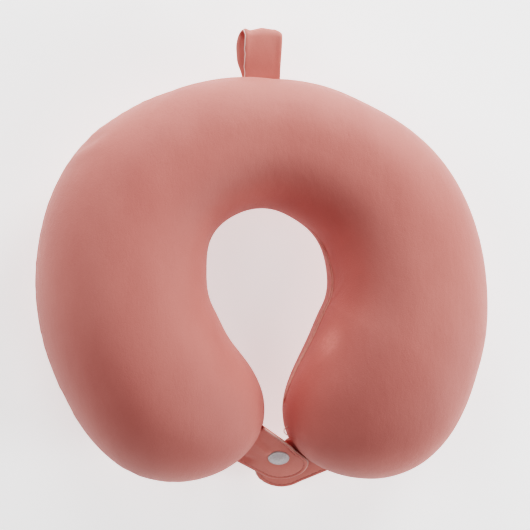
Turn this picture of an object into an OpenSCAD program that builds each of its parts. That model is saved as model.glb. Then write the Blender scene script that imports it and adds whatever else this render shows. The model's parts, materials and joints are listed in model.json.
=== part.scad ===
// U shaped memory foam neck pillow with a zipped velour cover.
// +X is the right arm, seen from above with the hanging loop at the far side, +Y is the back
// of the neck, and +Z is up when the pillow lies down.
// The origin is the centre of the neck opening, on the plane that the pillow rests on.

/* [Cushion] */
// Height of the seam round the middle of the cushion
seam_z = 50; // [44:1:56]
// Height of the crown above the seam at the back of the neck
crown_back = 46; // [40:1:52]
// Height of the crown above the seam at the arms
crown_arm = 61; // [52:1:66]
// Thickness of the velour cover
cover_t = 2; // [1.5:0.1:2.5]
// Thickness of the knitted inner liner
liner_t = 0.8; // [0.5:0.1:1]

/* [Tabs] */
// Width of each tab
tab_w = 33; // [30:1:34]
// Thickness of one ply of a tab
ply_t = 1.5; // [1.2:0.1:1.8]
// Slope of the fastened tabs, front edge down
tab_tilt = 47; // [40:1:52]
// Sideways slope of the fastened tabs, right edge up
tab_roll = 12; // [8:1:14]
// Diameter of the snap caps
cap_d = 14; // [12:0.5:15]

/* [Hanging loop] */
// Width of the strap
loop_w = 24; // [20:1:28]
// Reach of the loop from the back of the pillow
loop_l = 32.5; // [24:0.5:36]
// Thickness of the strap
strap_t = 2; // [1.6:0.1:2.4]

/* [Zipper] */
// Angle between the two ends of the zipper, about the centre of its arc
zip_sweep = 63; // [50:1:66]
// Width of the slider
slider_w = 7.4; // [6.6:0.1:7.6]
// Length of the pull tab
pull_l = 20; // [14:1:22]

/* [Hidden] */

// Spine of each arm: its distance from the neck centre, and the cushion's half width
// there, at seven even steps from the back of the neck to the arm's tip.
left_spine = [83, 88, 96, 97, 100, 104, 92];
left_half = [43, 46, 52, 55, 56, 59.5, 58];
right_spine = [83, 83, 88, 92, 99, 106, 97];
right_half = [43, 45, 49, 52, 56, 63, 59];
// How far round the spine each arm reaches, and where its rounded tip begins
left_reach = 178;
right_reach = 174.5;
tip_start = 125;
// Spine radius that turns a layer's inset into an angle at the arm tips
tip_spine = 95;
step_angle = 30;
last_step = 6;

// Section of the cushion: exponents of its rounded outline, and how flat it rests
width_power = 0.85;
height_power = 0.95;
rest_flatness = 0.93;

// Mesh density: rings in each arm, and points in half a section
arm_rings = 30;
half_points = 14;
ring_count = 2 * arm_rings + 1;

// Nested layers, measured inward from the outer face of the cover
layer_gap = 0.3;
liner_out = cover_t + layer_gap;
liner_in = liner_out + liner_t;
foam_out = liner_in + layer_gap;

// Zipper: an arc in the seam, on the outer side of the right arm
zip_centre = [1.5, -16.5];
zip_r = 144.5;
zip_end = 51;
zip_start = zip_end - zip_sweep;
zip_inset = 4.6;
coil_r = zip_r - zip_inset;
bead_r = 0.8;
bead_z = 1.5;
tape_t = 0.5;
tape_w = 8;
slit_play = 0.35;
slit_half = slider_w / 2 + slit_play;
slit_reach = 8;
slit_low_spare = 6;
slit_high_spare = 2;
slider_span = 4;
slider_rest = zip_end - 4;
plate_gap = 1.2;
plate_t = 0.9;
flange_w = 0.75;
flange_lift = 0.55;
neck_w = 0.8;
neck_span = 0.7;
neck_bite = 0.3;
pin_r = 0.45;
pin_lift = 3.4;
pin_proud = 0.1;
eye_r = 1.15;
eye_bore = 0.53;
lug_r = 1.4;
lug_w = 0.7;
lug_z = 1.5;
lug_sink = 0.2;
eye_play = 0.3;
pull_w = 5;
pull_t = 0.9;
pull_neck = 4;
pull_neck_bite = 0.6;
pull_hole_r = 1.4;
pull_hole_back = 4;
stop_span = 0.9;
stop_overlap = 0.3;
stop_sink = 0.05;
dent_depth = 7;
dent_ramp = 9;
dent_from = zip_start - 20;
dent_to = zip_end + 8;

// Tabs: the snap's centre, and a plane through it that slopes down to the front
snap_at = [8.3, -121.5, 42];
tab_r = tab_w / 2;
left_end = [-1.6, -6];
left_dir = 138;
right_end = [2, -17];
right_dir = 36;
// Root of each tab, in the tab plane: the middle of its edge and the edge's direction
left_root = [-15.2, 12.8];
left_root_dir = 55;
right_root = [13, -5];
right_root_dir = 130;
post_r = 0.9;
post_bore = 1.1;
cap_t = 1.6;
snap_base_r = 6;
snap_base_t = 1;
socket_r = 5;
socket_bore = 3.6;
socket_t = 2.6;
cap_edge = 0.1;
post_top = 0.5;
post_low = 0.2;
stud_r = 3;
stud_t = 1.9;
snap_play = 0.4;
right_top = -(socket_t + snap_play + snap_base_t);

// Hanging loop: where its root meets the back seam
loop_x = -4.5;
root_gap = 1.1;
loop_bulge = 5;
root_r = strap_t;
// Length of the root where the two strands are sewn together
root_solid = 6;

fn_fine = 64;

// ---- Curves ----

function clamp(x, low, high) = min(max(x, low), high);

// Smooth curve through evenly spaced values
function blend4(a, b, c, d, u) =
    0.5 * (2 * b + (c - a) * u + (2 * a - 5 * b + 4 * c - d) * u * u
        + (3 * b - a - 3 * c + d) * u * u * u);
function before(v, i) = i > 0 ? v[i - 1] : 2 * v[0] - v[1];
function after(v, i) = i + 2 <= last_step ? v[i + 2] : 2 * v[last_step] - v[last_step - 1];
function along(v, t, i) = blend4(before(v, i), v[i], v[i + 1], after(v, i), t - i);
function smooth(v, t) = along(v, t, min(floor(t), last_step - 1));

// Rise from one value to another between two steps of the spine
function ease(u) = u * u * (3 - 2 * u);
function crown(t) = crown_back + (crown_arm - crown_back) * ease(clamp(t / 4, 0, 1));

// Signed power, for the rounded section
function spow(x, p) = sign(x) * pow(abs(x), p);

// ---- Cushion surface ----
// A ring is one section of the cushion. Rings run from the left tip, -1, to the right, 1.

function reach(u) = u < 0 ? left_reach : right_reach;
function spine(u, t) = smooth(u < 0 ? left_spine : right_spine, t);
function half_width(u, t) = smooth(u < 0 ? left_half : right_half, t);
function tip_back(inset) = inset / tip_spine * 180 / PI;
function shrink(tau, end) = sqrt(max(0, 1 - pow(clamp((tau - tip_start) / (end - tip_start), 0, 1), 2)));

// Hollow that the inner layers leave behind the zipper
function zip_bump(angle) =
    ease(clamp((angle - dent_from) / dent_ramp, 0, 1)) * ease(clamp((dent_to - angle) / dent_ramp, 0, 1));
function dent(depth, angle, phi) = depth * zip_bump(angle) * pow(max(0, cos(phi)), 3);

function section_point(angle, ring_r, half, up, down, phi, depth) =
    let (side = ring_r + half * spow(cos(phi), width_power) - dent(depth, angle, phi))
    let (s = spow(sin(phi), height_power))
    let (z = s >= 0 ? up * s : max(down * s / rest_flatness, -down))
    [side * cos(angle), side * sin(angle), seam_z + z];

function ring(u, inset, depth, first, last) =
    let (end = 180 - tip_back(inset))
    let (tau = end * sin(abs(u) * 90))
    let (t = tau / step_angle)
    let (cap = shrink(tau, end))
    let (angle = 90 - sign(u) * tau / 180 * reach(u))
    let (half = (half_width(u, t) - inset) * cap)
    let (up = (crown(t) - inset) * cap)
    let (down = (seam_z - inset) * cap)
    [for (j = [first : last])
        section_point(angle, spine(u, t), half, up, down, 180 * j / half_points, depth)];

function rings(inset, depth, first, last) =
    [for (k = [0 : ring_count - 1]) ring(k / arm_rings - 1, inset, depth, first, last)];

// Points of a surface whose first and last rings are single points
function inner_rings(grid) = [for (k = [1 : ring_count - 2]) for (p = grid[k]) p];
function surface_points(grid) = concat([grid[0][0]], inner_rings(grid), [grid[ring_count - 1][0]]);

function at(k, j, n) = k <= 0 ? 0 : k >= ring_count - 1 ? 1 + (ring_count - 2) * n : 1 + (k - 1) * n + j;
function shifted(faces, by) = [for (f = faces) [for (i = f) i + by]];
function flipped(faces) = [for (f = faces) [f[2], f[1], f[0]]];
function distinct(faces) = [for (f = faces) if (f[0] != f[1] && f[1] != f[2] && f[2] != f[0]) f];

// Two triangles between neighbouring points of neighbouring rings
function cell(k, j, j2, n) = [
    [at(k, j, n), at(k + 1, j, n), at(k + 1, j2, n)],
    [at(k, j, n), at(k + 1, j2, n), at(k, j2, n)]];
function skin(n, closed) = distinct([for (k = [0 : ring_count - 2])
    for (j = [0 : closed ? n - 1 : n - 2]) each cell(k, j, (j + 1) % n, n)]);

// Strip that joins the edges of an outer and an inner surface
function rim(j, n, gap, flip) = let (strip = [for (k = [0 : ring_count - 2])
        each [
            [at(k, j, n), at(k + 1, j, n), at(k + 1, j, n) + gap],
            [at(k, j, n), at(k + 1, j, n) + gap, at(k, j, n) + gap]]])
    distinct(flip ? flipped(strip) : strip);

module cushion_solid(inset, depth) {
    n = 2 * half_points;
    grid = rings(inset, depth, 0, n - 1);
    polyhedron(surface_points(grid), skin(n, true), convexity = 6);
}

// Half of a shell: the top from the outer seam over the crown to the inner seam, or the bottom
module half_shell(outer, inner, depth, bottom = false) {
    n = half_points + 1;
    first = bottom ? half_points : 0;
    outside = surface_points(rings(outer, depth, first, first + half_points));
    inside = surface_points(rings(inner, depth, first, first + half_points));
    gap = len(outside);
    faces = concat(
        skin(n, false), flipped(shifted(skin(n, false), gap)),
        rim(0, n, gap, true), rim(n - 1, n, gap, false));
    polyhedron(concat(outside, inside), faces, convexity = 8);
}

// ---- Zipper frame ----

// A block bent along the zipper's arc: between two radii, two heights and two angles
module arc_block(r0, r1, z0, z1, a0, a1) {
    translate([zip_centre.x, zip_centre.y, seam_z])
        rotate([0, 0, a0])
            rotate_extrude(angle = a1 - a0, $fn = 360)
                translate([r0, z0]) square([r1 - r0, z1 - z0]);
}

// Place children at an angle on the arc, with X outward and Y along the zipper
module on_arc(angle, r) {
    translate([zip_centre.x, zip_centre.y, seam_z])
        rotate([0, 0, angle])
            translate([r, 0, 0]) children();
}

module zip_slit() {
    arc_block(zip_r - slit_reach, zip_r + slit_reach, -slit_half, slit_half,
        zip_start - slit_low_spare, zip_end + slit_high_spare);
}

module coil_bead(side) {
    translate([zip_centre.x, zip_centre.y, seam_z])
        rotate([0, 0, zip_start])
            rotate_extrude(angle = zip_sweep, $fn = 360)
                translate([coil_r, side * bead_z]) circle(r = bead_r, $fn = 24);
}

module tape(low, high) {
    arc_block(coil_r - tape_t / 2, coil_r + tape_t / 2, low, high, zip_start, zip_end);
}

// ---- Cushion ----

module foam_core() {
    color("#f3e7c4") cushion_solid(foam_out, dent_depth);
}

module liner_top_panel() {
    color("#f5f2ee") half_shell(liner_out, liner_in, dent_depth);
}

module liner_bottom_panel() {
    color("#ece8e3") half_shell(liner_out, liner_in, dent_depth, bottom = true);
}

module cover_top_panel() {
    color("#d98880") difference() {
        half_shell(0, cover_t, 0);
        zip_slit();
    }
}

module cover_bottom_panel() {
    color("#c9746c") difference() {
        half_shell(0, cover_t, 0, bottom = true);
        zip_slit();
    }
}

// ---- Zipper ----

tape_low = bead_z + bead_r;

module zipper_tape_upper() {
    color("#cf7c74") tape(tape_low, tape_low + tape_w);
}

module zipper_tape_lower() {
    color("#cf7c74") tape(-tape_low - tape_w, -tape_low);
}

module zipper_coil_upper() {
    color("#c46f68") coil_bead(1);
}

module zipper_coil_lower() {
    color("#c46f68") coil_bead(-1);
}

module zipper_top_stops() {
    color("silver") for (side = [-1, 1])
        arc_block(coil_r - plate_gap, coil_r + plate_gap, side * bead_z - bead_r - stop_sink,
            side * bead_z + bead_r + stop_overlap, zip_end, zip_end + stop_span);
}

module zipper_bottom_stop() {
    color("silver")
        arc_block(coil_r - plate_gap, coil_r + plate_gap, -tape_low, tape_low,
            zip_start - stop_span, zip_start);
}

module slider_half(side) {
    near = side > 0 ? coil_r + plate_gap : coil_r - plate_gap - plate_t;
    flange_near = side > 0 ? coil_r + flange_lift : coil_r - plate_gap;
    flange_far = side > 0 ? coil_r + plate_gap : coil_r - flange_lift;
    a0 = slider_rest - slider_span / 2;
    a1 = slider_rest + slider_span / 2;
    arc_block(near, near + plate_t, -slider_w / 2, slider_w / 2, a0, a1);
    for (z0 = [-slider_w / 2, slider_w / 2 - flange_w])
        arc_block(flange_near, flange_far, z0, z0 + flange_w, a0, a1);
}

module pin_lug(z0) {
    foot = plate_gap + plate_t - lug_sink;
    on_arc(slider_rest, coil_r) {
        translate([foot, -lug_r, z0]) cube([pin_lift - foot, 2 * lug_r, lug_w]);
        translate([pin_lift, 0, z0]) cylinder(r = lug_r, h = lug_w, $fn = fn_fine);
    }
}

module zipper_slider() {
    neck_a0 = slider_rest + slider_span / 2 - neck_span;
    color("silver") union() {
        slider_half(1);
        slider_half(-1);
        arc_block(coil_r - plate_gap - neck_bite, coil_r + plate_gap + neck_bite,
            -neck_w / 2, neck_w / 2, neck_a0, neck_a0 + neck_span);
        pin_lug(lug_z);
        pin_lug(-lug_z - lug_w);
        on_arc(slider_rest, coil_r + pin_lift) translate([0, 0, -lug_z - pin_proud])
            cylinder(r = pin_r, h = 2 * (lug_z + pin_proud), $fn = fn_fine);
    }
}

module zipper_pull() {
    eye_w = 2 * (lug_z - eye_play);
    flat = eye_r - pull_t;
    grip_l = pull_l - pull_neck + pull_neck_bite;
    color("silver") on_arc(slider_rest, coil_r + pin_lift) difference() {
        union() {
            translate([0, 0, -eye_w / 2]) cylinder(r = eye_r, h = eye_w, $fn = fn_fine);
            translate([flat, -pull_neck, -eye_w / 2]) cube([pull_t, pull_neck, eye_w]);
            translate([flat, -pull_l, -pull_w / 2]) cube([pull_t, grip_l, pull_w]);
        }
        translate([0, 0, -eye_w]) cylinder(r = eye_bore, h = 2 * eye_w, $fn = fn_fine);
        translate([0, pull_hole_back - pull_l, 0])
            rotate([0, 90, 0]) cylinder(r = pull_hole_r, h = pull_l, $fn = fn_fine);
    }
}

// ---- Tabs ----

module tab_plane() {
    translate(snap_at) rotate([0, -tab_roll, 0]) rotate([tab_tilt, 0, 0]) children();
}

function heading(angle) = [cos(angle), sin(angle)];

// Where the line from a point along one heading crosses the root line
function root_corner(from, dir, root, root_dir) =
    let (normal = heading(root_dir + 90))
    from + heading(dir) * (((root - from) * normal) / (heading(dir) * normal));

// Tab with a round end, whose sides run on to its root line
module tab_outline(end, dir, root, root_dir) {
    round_end = [for (a = [-90 : 7.5 : 90]) end + tab_r * heading(dir + 180 + a)];
    last = len(round_end) - 1;
    polygon(concat(round_end, [
        root_corner(round_end[last], dir, root, root_dir),
        root_corner(round_end[0], dir, root, root_dir)]));
}

module tab_ply(low, end, dir, root, root_dir) {
    tab_plane() difference() {
        translate([0, 0, low]) linear_extrude(ply_t) tab_outline(end, dir, root, root_dir);
        translate([0, 0, low - 1]) cylinder(r = post_bore, h = ply_t + 2, $fn = fn_fine);
    }
}

module left_ply(low) {
    tab_ply(low, left_end, left_dir, left_root, left_root_dir);
}

module right_ply(low) {
    tab_ply(low, right_end, right_dir, right_root, right_root_dir);
}

module left_tab_upper_ply() {
    color("#d4817a") left_ply(ply_t);
}

module left_tab_lower_ply() {
    color("#c9766f") left_ply(0);
}

module right_tab_upper_ply() {
    color("#cf7a73") right_ply(right_top - ply_t);
}

module right_tab_lower_ply() {
    color("#c26d66") right_ply(right_top - 2 * ply_t);
}

// ---- Snap ----

// Domed cap, on the plane z = 0, with its dome upward
module cap_dome() {
    sphere_r = (pow(cap_d / 2, 2) + pow(cap_t, 2)) / (2 * cap_t);
    intersection() {
        translate([0, 0, cap_t - sphere_r]) sphere(r = sphere_r, $fn = 128);
        cylinder(r = cap_d / 2 - cap_edge, h = 2 * cap_t, $fn = fn_fine);
    }
}

module snap_socket_cap() {
    top = 2 * ply_t;
    post_l = top + snap_base_t;
    color("white") tab_plane() union() {
        translate([0, 0, top]) cap_dome();
        translate([0, 0, -snap_base_t]) cylinder(r = post_r, h = post_l + post_top, $fn = fn_fine);
    }
}

module snap_socket() {
    color("whitesmoke") tab_plane() difference() {
        union() {
            translate([0, 0, -snap_base_t]) cylinder(r = snap_base_r, h = snap_base_t, $fn = fn_fine);
            translate([0, 0, -socket_t]) cylinder(r = socket_r, h = socket_t, $fn = fn_fine);
        }
        translate([0, 0, -socket_t - 1])
            cylinder(r = socket_bore, h = socket_t + 1 - snap_base_t, $fn = fn_fine);
        translate([0, 0, -socket_t]) cylinder(r = post_bore, h = socket_t + 1, $fn = fn_fine);
    }
}

module snap_stud_cap() {
    low = right_top - 2 * ply_t;
    post_l = 2 * ply_t + snap_base_t + stud_t;
    color("white") tab_plane() union() {
        translate([0, 0, low]) mirror([0, 0, 1]) cap_dome();
        translate([0, 0, low - post_top])
            cylinder(r = post_r, h = post_l + post_top - post_low, $fn = fn_fine);
    }
}

module snap_stud() {
    color("whitesmoke") tab_plane() difference() {
        union() {
            translate([0, 0, right_top]) cylinder(r = snap_base_r, h = snap_base_t, $fn = fn_fine);
            translate([0, 0, right_top])
                cylinder(r = stud_r, h = snap_base_t + stud_t - post_low, $fn = fn_fine);
        }
        translate([0, 0, right_top - 1])
            cylinder(r = post_bore, h = snap_base_t + stud_t + 2, $fn = fn_fine);
    }
}

// ---- Hanging loop ----

// Side view of the folded strap: a round fold at the far end, strands that close at the root
module loop_side(grow) {
    far = loop_l - loop_bulge - strap_t;
    root = strap_t / 2 + grow;
    polygon(concat(
        [for (a = [270 : -30 : 90]) [root_r + root * cos(a), root * sin(a)]],
        [for (i = [1 : 12]) let (u = i / 12)
            [root_r + (far - root_r) * u, root + (loop_bulge + grow - root) * ease(u)]],
        [for (a = [75 : -15 : -75]) [far + (loop_bulge + grow) * cos(a), (loop_bulge + grow) * sin(a)]],
        [for (i = [12 : -1 : 1]) let (u = i / 12)
            [root_r + (far - root_r) * u, -root - (loop_bulge + grow - root) * ease(u)]]));
}

back_y = right_spine[0] + right_half[0];

module hanging_loop() {
    root_y = back_y + root_gap;
    color("#d98880") translate([loop_x - loop_w / 2, root_y, seam_z])
        rotate([90, 0, 90]) linear_extrude(loop_w) difference() {
            loop_side(strap_t / 2);
            intersection() {
                loop_side(-strap_t / 2);
                translate([root_solid, -loop_l]) square([2 * loop_l, 2 * loop_l]);
            }
        }
}

foam_core();
liner_top_panel();
liner_bottom_panel();
cover_top_panel();
cover_bottom_panel();
zipper_tape_upper();
zipper_tape_lower();
zipper_coil_upper();
zipper_coil_lower();
zipper_top_stops();
zipper_bottom_stop();
zipper_slider();
zipper_pull();
left_tab_upper_ply();
left_tab_lower_ply();
right_tab_upper_ply();
right_tab_lower_ply();
snap_socket_cap();
snap_socket();
snap_stud_cap();
snap_stud();
hanging_loop();
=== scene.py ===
"""Looks of a U shaped neck pillow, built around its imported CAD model.

The cushion's cover is two sewn panels swept round a curved spine. A cloth simulation
swells the fabric between its seams, and the result is laid on the fine panels as relief.
Lengths inside the builders are millimetres; meshes are stored in metres.
"""

import json
import math

import bmesh
import bpy
import numpy as np
from mathutils import Matrix, Vector


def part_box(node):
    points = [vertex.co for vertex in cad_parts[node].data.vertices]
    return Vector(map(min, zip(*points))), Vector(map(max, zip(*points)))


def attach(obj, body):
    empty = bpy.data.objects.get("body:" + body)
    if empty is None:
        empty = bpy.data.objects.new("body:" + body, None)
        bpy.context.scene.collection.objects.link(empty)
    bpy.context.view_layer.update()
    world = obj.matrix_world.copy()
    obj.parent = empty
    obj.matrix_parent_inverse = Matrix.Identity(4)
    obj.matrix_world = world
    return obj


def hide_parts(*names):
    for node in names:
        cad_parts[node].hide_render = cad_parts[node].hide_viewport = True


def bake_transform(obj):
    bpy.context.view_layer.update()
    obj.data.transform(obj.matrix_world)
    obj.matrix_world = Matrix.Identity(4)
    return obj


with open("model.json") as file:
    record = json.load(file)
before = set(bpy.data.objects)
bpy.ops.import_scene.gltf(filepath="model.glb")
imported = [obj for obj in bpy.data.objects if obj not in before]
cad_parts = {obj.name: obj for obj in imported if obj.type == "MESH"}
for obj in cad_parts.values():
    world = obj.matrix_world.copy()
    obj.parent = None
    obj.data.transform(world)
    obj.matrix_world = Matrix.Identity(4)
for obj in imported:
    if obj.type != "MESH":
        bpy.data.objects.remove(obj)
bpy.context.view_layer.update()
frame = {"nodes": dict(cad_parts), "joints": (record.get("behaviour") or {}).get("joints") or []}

MM = 0.001
JOINTS = {j["name"]: j for j in frame["joints"]}


# ---- Sizes ----

# Spine of each arm: distance from the neck centre and half width of the cushion there,
# at seven even steps from the back of the neck to the arm's tip.
LEFT_SPINE = (83, 88, 96, 97, 100, 104, 92)
LEFT_HALF = (43, 46, 52, 55, 56, 59.5, 58)
RIGHT_SPINE = (83, 83, 88, 92, 99, 106, 97)
RIGHT_HALF = (43, 45, 49, 52, 56, 63, 59)
STEP = 30

# Degrees: how far each arm reaches round the neck, and where it begins to close to its tip.
# The spine's radius at the tips
LEFT_REACH = 178
RIGHT_REACH = 174.5
TIP_START = 125
TIP_RADIUS = 95

# Shape of a section: powers of its round outline, and the share of its depth at which the
# underside is flat
WIDTH_POWER = 0.85
HEIGHT_POWER = 0.95
REST_FLATNESS = 0.93

# Heights of the seam above the resting face, and of the crowns above the seam
SEAM_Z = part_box("cover_top_panel")[0].z / MM
CROWN_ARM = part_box("cover_top_panel")[1].z / MM - SEAM_Z
CROWN_BACK = 46

# Zipper: an arc in the seam on the outer side of the right arm, with its radius, its ends
# in degrees and its depth under the seam; and the slit in the cover that it lies in
ZIP_CENTRE = np.array(JOINTS["slider_travel"]["pos_m"][:2]) / MM
ZIP_R = 144.5
ZIP_FROM = -12.0
ZIP_TO = 51.0
ZIP_DEPTH = 4.6
SLIT_HALF = 3.6
SLIT_FROM = ZIP_FROM - 10
SLIT_TO = ZIP_TO + 3.5

# Tab plane: its centre is the snap. It slopes down to the front and up to the right.
SNAP = np.array([8.3, -121.5, 42.0])
TAB_TILT = math.radians(47)
TAB_ROLL = math.radians(12)

# Thickness of a ply, place of the right tab's upper face off the plane, radius of the cap
PLY = 1.5
RIGHT_TOP = -4.0
CAP_R = 7.1


# ---- Curves ----

def smooth(values, t):
    """Catmull-Rom curve through evenly spaced values."""
    v = np.asarray(values, float)
    last = len(v) - 1
    t = np.clip(t, 0, last)
    i = np.minimum(t.astype(int), last - 1)
    u = t - i
    padded = np.concatenate([[2 * v[0] - v[1]], v, [2 * v[last] - v[last - 1]]])
    a, b, c, d = (padded[i + k] for k in range(4))
    return 0.5 * (2 * b + (c - a) * u + (2 * a - 5 * b + 4 * c - d) * u * u
                  + (3 * b - a - 3 * c + d) * u ** 3)


def ease(u):
    u = np.clip(u, 0, 1)
    return u * u * (3 - 2 * u)


def spow(x, p):
    return np.sign(x) * np.abs(x) ** p


def bell(x, width):
    return np.exp(-(x / width) ** 2)


def section(u, phi, inset=0.0):
    """Points of the cushion's surface in millimetres. u runs from the left tip, -1, to the
    right tip, 1; phi goes round a section from the outer seam over the crown, in degrees."""
    u, phi = np.broadcast_arrays(np.asarray(u, float), np.asarray(phi, float))
    left = u < 0
    end = 180 - math.degrees(inset / TIP_RADIUS)
    tau = end * np.sin(np.abs(u) * math.pi / 2)
    t = tau / STEP
    spine = np.where(left, smooth(LEFT_SPINE, t), smooth(RIGHT_SPINE, t))
    half = np.where(left, smooth(LEFT_HALF, t), smooth(RIGHT_HALF, t)) - inset
    cap = np.sqrt(np.clip(1 - np.clip((tau - TIP_START) / (end - TIP_START), 0, 1) ** 2, 0, 1))
    up = CROWN_BACK + (CROWN_ARM - CROWN_BACK) * ease(t / 4) - inset
    down = SEAM_Z - inset
    angle = np.radians(90 - np.sign(u) * tau / 180 * np.where(left, LEFT_REACH, RIGHT_REACH))
    c = spow(np.cos(np.radians(phi)), WIDTH_POWER)
    s = spow(np.sin(np.radians(phi)), HEIGHT_POWER)
    z = np.where(s >= 0, up * s, np.maximum(down * s / REST_FLATNESS, -down))
    r = spine + half * cap * c
    return np.stack([r * np.cos(angle), r * np.sin(angle), SEAM_Z + cap * z], -1)


def surface_normals(grid):
    """Unit normals of a grid of points, pointing out of the cushion."""
    du = np.gradient(grid, axis=0)
    dv = np.gradient(grid, axis=1)
    n = np.cross(dv, du)
    size = np.linalg.norm(n, axis=-1, keepdims=True)
    n = n / np.maximum(size, 1e-9)
    away = grid - np.array([0, 0, SEAM_Z])
    weak = size[..., 0] < 1e-6
    n[weak] = away[weak] / np.linalg.norm(away[weak], axis=-1, keepdims=True)
    return n


# ---- Meshes ----

def new_object(name, verts, faces, smooth_faces=True):
    mesh = bpy.data.meshes.new(name)
    mesh.from_pydata([tuple(v) for v in np.asarray(verts) * MM], [], [tuple(f) for f in faces])
    mesh.update()
    if smooth_faces:
        mesh.polygons.foreach_set("use_smooth", [True] * len(mesh.polygons))
    obj = bpy.data.objects.new(name, mesh)
    bpy.context.collection.objects.link(obj)
    return obj


def grid_faces(rows, cols, wrap=False, offset=0):
    """Quads between neighbouring rows and columns of a grid."""
    faces = []
    for i in range(rows - 1):
        for j in range(cols if wrap else cols - 1):
            j2 = (j + 1) % cols
            faces.append((offset + i * cols + j, offset + i * cols + j2,
                          offset + (i + 1) * cols + j2, offset + (i + 1) * cols + j))
    return faces


def opened(obj):
    """An object's mesh, ready to be edited."""
    bm = bmesh.new()
    bm.from_mesh(obj.data)
    bm.verts.ensure_lookup_table()
    return bm


def put_back(bm, obj):
    """Turns all faces of an edited mesh outward and gives it back, shaded smooth."""
    bmesh.ops.recalc_face_normals(bm, faces=bm.faces)
    bm.to_mesh(obj.data)
    bm.free()
    obj.data.polygons.foreach_set("use_smooth", [True] * len(obj.data.polygons))


def merge(bm, distance):
    bmesh.ops.remove_doubles(bm, verts=bm.verts, dist=distance)
    bmesh.ops.dissolve_degenerate(bm, edges=bm.edges, dist=distance)


def weld(obj, distance=1e-6):
    """Merges points that meet, and turns all faces outward."""
    bm = opened(obj)
    merge(bm, distance)
    put_back(bm, obj)


def close_ends(obj, rows, count, slits=False):
    """Fills what the first and the last row of a grid leave open. Points that meet
    in a slit are merged."""
    bm = opened(obj)
    for base in (0, (rows - 1) * count):
        bm.faces.new([bm.verts[base + j] for j in range(count)])
    if slits:
        merge(bm, 1e-6)
        bmesh.ops.triangulate(bm, faces=[f for f in bm.faces if len(f.verts) > 4])
    put_back(bm, obj)


def swept(name, verts, count, material):
    """A closed tube through rings of points, each with the same count, and filled ends."""
    verts = np.asarray(verts)
    faces = grid_faces(len(verts) // count, count, wrap=True)
    faces.append(tuple(range(count)))
    faces.append(tuple(range(len(verts) - count, len(verts)))[::-1])
    obj = new_object(name, verts, faces)
    weld(obj)
    obj.data.materials.append(material)
    return obj


def cord(name, line, across, up, radii, sides, material):
    """A round cord along a line of points, from two directions square to it at each point."""
    rings = []
    for a in np.linspace(0, 2 * math.pi, sides, endpoint=False):
        rings.append(line + radii * (math.cos(a) * across + math.sin(a) * up))
    return swept(name, np.stack(rings, 1).reshape(-1, 3), sides, material)


def unit(vectors):
    return vectors / np.linalg.norm(vectors, axis=-1, keepdims=True)


# ---- Materials ----

def new_material(name):
    """A material, its nodes and links, its shader and its object coordinates."""
    mat = bpy.data.materials.new(name)
    mat.use_nodes = True
    nodes, links = mat.node_tree.nodes, mat.node_tree.links
    bsdf = nodes["Principled BSDF"]
    coords = nodes.new("ShaderNodeTexCoord").outputs["Object"]
    return mat, nodes, links, bsdf, coords


def noise(nodes, links, coords, scale, detail=2.0, rough=0.5):
    tex = nodes.new("ShaderNodeTexNoise")
    tex.inputs["Scale"].default_value = scale
    tex.inputs["Detail"].default_value = detail
    tex.inputs["Roughness"].default_value = rough
    links.new(coords, tex.inputs["Vector"])
    return tex.outputs["Fac"]


def ramp(nodes, links, fac, stops):
    node = nodes.new("ShaderNodeValToRGB")
    while len(node.color_ramp.elements) < len(stops):
        node.color_ramp.elements.new(0.5)
    for element, (pos, color) in zip(node.color_ramp.elements, stops):
        element.position = pos
        element.color = (*color, 1)
    links.new(fac, node.inputs["Fac"])
    return node.outputs["Color"]


def add_math(nodes, links, operation, a, b):
    node = nodes.new("ShaderNodeMath")
    node.operation = operation
    for socket, value in zip(node.inputs, (a, b)):
        if isinstance(value, (int, float)):
            socket.default_value = value
        else:
            links.new(value, socket)
    return node.outputs[0]


def uneven_roughness(nodes, links, bsdf, fac, low, high):
    spread = nodes.new("ShaderNodeMapRange")
    spread.inputs["To Min"].default_value = low
    spread.inputs["To Max"].default_value = high
    links.new(fac, spread.inputs["Value"])
    links.new(spread.outputs["Result"], bsdf.inputs["Roughness"])


def add_bump(nodes, links, bsdf, height, strength, distance):
    bump = nodes.new("ShaderNodeBump")
    bump.inputs["Strength"].default_value = strength
    bump.inputs["Distance"].default_value = distance
    links.new(height, bump.inputs["Height"])
    links.new(bump.outputs["Normal"], bsdf.inputs["Normal"])


# Painted highlight inside the right arm, where the standing pile catches the light: centre
# and radius in metres, and how much lighter it is in the middle
HIGHLIGHT_PATCH_AT = (0.0285, -0.043, 0.081)
HIGHLIGHT_PATCH_RADIUS = 0.019
HIGHLIGHT_PATCH_STRENGTH = 0.6


def painted_highlight_patch(nodes, links, coords, place):
    """Painted highlight of pile that stands up: strongest at a place, in metres, and broken by fine
    streaks.
    """
    offset = nodes.new("ShaderNodeMapping")
    offset.vector_type = "POINT"
    offset.inputs["Location"].default_value = tuple(-c for c in place)
    links.new(coords, offset.inputs["Vector"])
    distance = nodes.new("ShaderNodeVectorMath")
    distance.operation = "LENGTH"
    links.new(offset.outputs["Vector"], distance.inputs[0])
    fade = nodes.new("ShaderNodeMapRange")
    fade.interpolation_type = "SMOOTHSTEP"
    fade.inputs["From Max"].default_value = HIGHLIGHT_PATCH_RADIUS
    fade.inputs["To Min"].default_value = HIGHLIGHT_PATCH_STRENGTH
    fade.inputs["To Max"].default_value = 0.0
    links.new(distance.outputs["Value"], fade.inputs["Value"])
    streaks = noise(nodes, links, coords, 420, 3, 0.6)
    return add_math(nodes, links, "MULTIPLY", fade.outputs["Result"],
                    add_math(nodes, links, "ADD", streaks, 0.4))


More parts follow.
